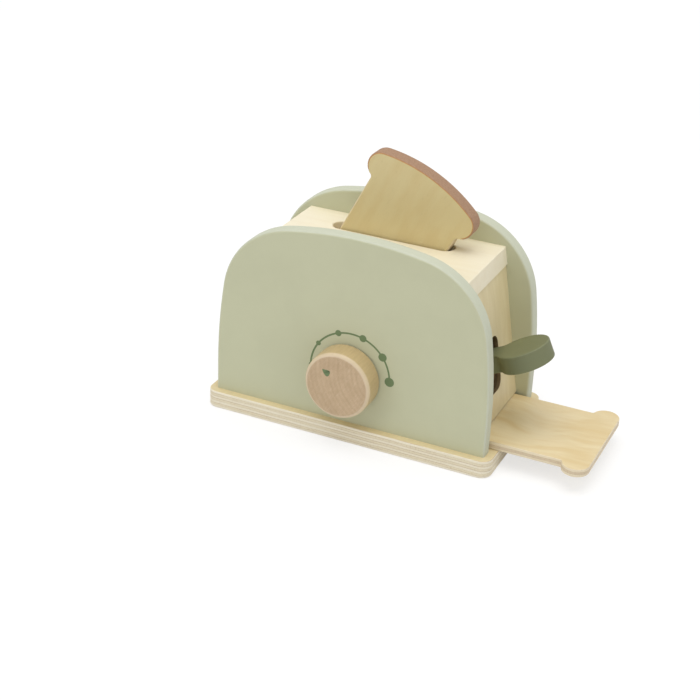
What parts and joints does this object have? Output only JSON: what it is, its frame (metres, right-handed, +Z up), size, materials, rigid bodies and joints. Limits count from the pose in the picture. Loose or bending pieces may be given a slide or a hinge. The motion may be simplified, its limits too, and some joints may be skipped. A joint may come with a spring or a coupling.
{
  "type": "toy toaster",
  "caption": "Wooden toy toaster with a rocking lever, a pull-out crumb tray, a turning dial knob and a wooden slice leaning in its back slot.",
  "frame": {"origin": "centre of the base plate's underside", "axes": "+X along the body towards the lever and the tray's grip, +Y to the back, +Z up"},
  "size_m": [0.2581, 0.1158, 0.1753],
  "materials": {
    "plywood": "clear satin birch plywood",
    "painted_sage": "matt sage green paint on board",
    "painted_olive": "matt olive green paint on plywood",
    "pale_wood": "clear satin solid maple",
    "end_wood": "clear satin plywood, darker",
    "beech": "clear satin turned beech",
    "toast": "natural plywood with a brown painted crust",
    "steel": "zinc plated"
  },
  "bodies": {
    "toaster": {"base_plate": "plywood", "front_panel": "painted_sage", "back_panel": "painted_sage", "top_panel": "pale_wood", "left_wall": "end_wood", "right_wall": "end_wood", "inner_floor": "plywood", "centre_rail": "pale_wood", "front_guide": "pale_wood", "back_guide": "pale_wood", "bread_rest": "pale_wood", "lever_pivot": "beech", "knob_spacer": "steel", "knob_washer": "steel", "base_screws": "steel", "front_dowels": "beech", "back_dowels": "beech"},
    "tray": {"tray": "plywood"},
    "lever": {"lever": "painted_olive", "lift_bar": "beech"},
    "knob": {"knob": "beech", "knob_screw": "steel"},
    "slice": {"toast_slice": "toast"}
  },
  "joints": [
    {"name": "knob_turn", "type": "hinge", "parent": "toaster", "child": "knob", "pos_m": [0, -0.0556, 0.0452], "axis": [0, -1, 0], "continuous": true},
    {"name": "tray_slide", "type": "slide", "parent": "toaster", "child": "tray", "axis": [1, 0, 0], "range_m": [-0.046, 0.09]},
    {"name": "lever_press", "type": "hinge", "parent": "toaster", "child": "lever", "pos_m": [0.07519, 0, 0.0531], "axis": [0, 1, 0], "range_deg": [0, 36]},
    {"name": "toast_lift", "type": "slide", "parent": "toaster", "child": "slice", "axis": [0.454, 0, 0.891], "range_m": [0, 0.055]}
  ]
}
